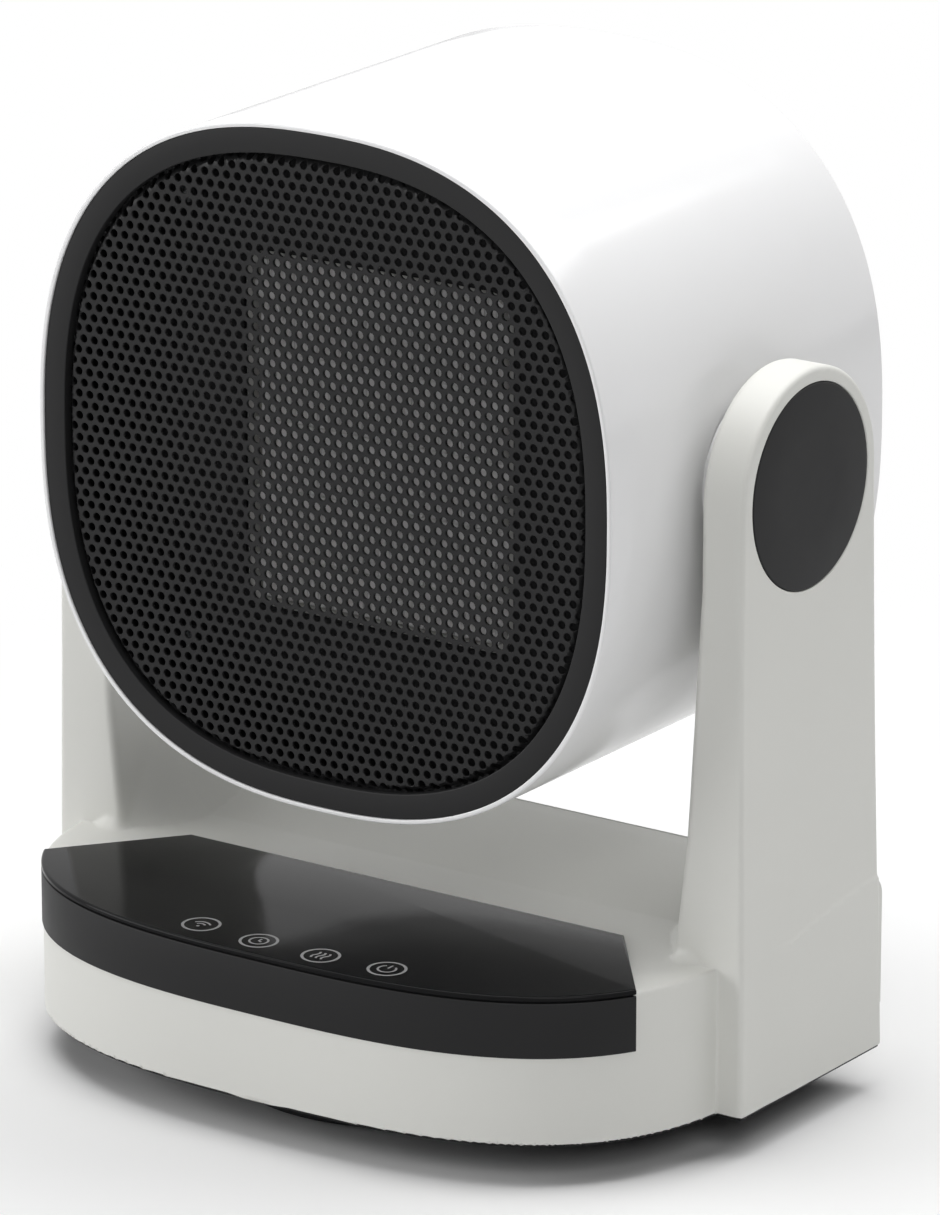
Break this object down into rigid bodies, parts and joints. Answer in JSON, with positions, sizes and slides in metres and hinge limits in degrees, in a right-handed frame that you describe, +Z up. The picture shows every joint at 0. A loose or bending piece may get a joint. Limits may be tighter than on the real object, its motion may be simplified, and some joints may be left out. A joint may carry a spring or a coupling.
{
  "type": "ceramic space heater",
  "caption": "Squircle-fronted ceramic fan heater: the head tilts between two arms and the base turns on a round foot; mesh grille, finned heating block and fan behind it.",
  "frame": {"origin": "on the floor, under the middle of the heater's length and width at rest; the axis on which the base turns stands 12 mm in front of it", "axes": "+Z up, -Y out of the front of the head and of the control panel, +X to the right seen from the rear (the right of the picture)"},
  "size_m": [0.24, 0.171, 0.2874],
  "materials": {
    "case_white": "satin moulded ABS, warm white",
    "barrel_white": "glossy moulded ABS, cool white",
    "dark_trim": "satin moulded, dark grey",
    "under_black": "moulded, black",
    "touch_glass": "glossy black acrylic with light grey touch icons",
    "mesh_black": "perforated steel sheet, black enamel",
    "rubber_black": "matt rubber",
    "nylon_cream": "natural nylon or acetal",
    "zinc_steel": "zinc-plated steel",
    "circuit_green": "solder-masked circuit board",
    "parts_dark": "relays, capacitor and transformer",
    "heater_frame": "pale heat-resistant glass-filled frame",
    "fin_aluminium": "folded aluminium strip",
    "fan_plastic": "glass-filled nylon, dark"
  },
  "bodies": {
    "foot": {"foot_plate": "under_black", "foot_pads": "rubber_black", "glide_ring": "nylon_cream", "spindle": "under_black", "spindle_screws": "zinc_steel", "swivel_gear": "nylon_cream", "gear_retainer": "zinc_steel", "gear_screws": "zinc_steel"},
    "base": {"base_shell": "case_white", "arm_cover_left": "case_white", "arm_cover_right": "case_white", "bottom_cover": "under_black", "bottom_screws": "zinc_steel", "rear_panel": "case_white", "rear_panel_screws": "zinc_steel", "cord_gland": "under_black", "terminal_block": "nylon_cream", "panel_housing": "dark_trim", "panel_screws": "zinc_steel", "touch_lens": "touch_glass", "touch_board": "circuit_green", "touch_springs": "zinc_steel", "touch_screws": "zinc_steel", "main_board": "circuit_green", "board_parts": "parts_dark", "board_screws": "zinc_steel", "tilt_switch": "under_black", "swivel_motor": "zinc_steel", "swivel_motor_screws": "zinc_steel", "pivot_bush_left": "nylon_cream", "pivot_bush_right": "nylon_cream", "friction_washers": "zinc_steel", "pivot_cap_left": "dark_trim", "pivot_cap_right": "dark_trim"},
    "pinion": {"motor_pinion": "nylon_cream"},
    "head": {"barrel": "barrel_white", "front_bezel": "dark_trim", "front_grille": "mesh_black", "air_guide": "under_black", "guide_screws": "zinc_steel", "ptc_frame": "heater_frame", "ptc_tubes": "fin_aluminium", "ptc_fins": "fin_aluminium", "thermal_cutout": "under_black", "thermal_fuse": "heater_frame", "trunnion_left": "under_black", "trunnion_right": "under_black", "trunnion_screws": "zinc_steel", "pivot_clips": "zinc_steel", "fan_motor": "zinc_steel", "motor_mount": "under_black", "motor_screws": "zinc_steel", "mount_screws": "zinc_steel", "rear_cover": "dark_trim", "rear_screws": "zinc_steel"},
    "fan": {"fan_rotor": "fan_plastic", "motor_shaft": "zinc_steel", "fan_nut": "zinc_steel"}
  },
  "joints": [
    {"name": "base_swivel", "type": "hinge", "parent": "foot", "child": "base", "pos_m": [0, -0.012, 0.012], "axis": [0, 0, 1], "range_deg": [-35, 35]},
    {"name": "pinion_spin", "type": "hinge", "parent": "base", "child": "pinion", "pos_m": [-0.02553, 0.01353, 0.022], "axis": [0, 0, 1], "range_deg": [-180, 180]},
    {"name": "head_tilt", "type": "hinge", "parent": "base", "child": "head", "pos_m": [0, 0.015, 0.1885], "axis": [-1, 0, 0], "range_deg": [-20, 45]},
    {"name": "fan_spin", "type": "hinge", "parent": "head", "child": "fan", "pos_m": [0, 0.027, 0.1885], "axis": [0, 1, 0], "continuous": true}
  ],
  "couplings": [
    {"joint": "pinion_spin", "follows": "base_swivel", "ratio": 5}
  ]
}
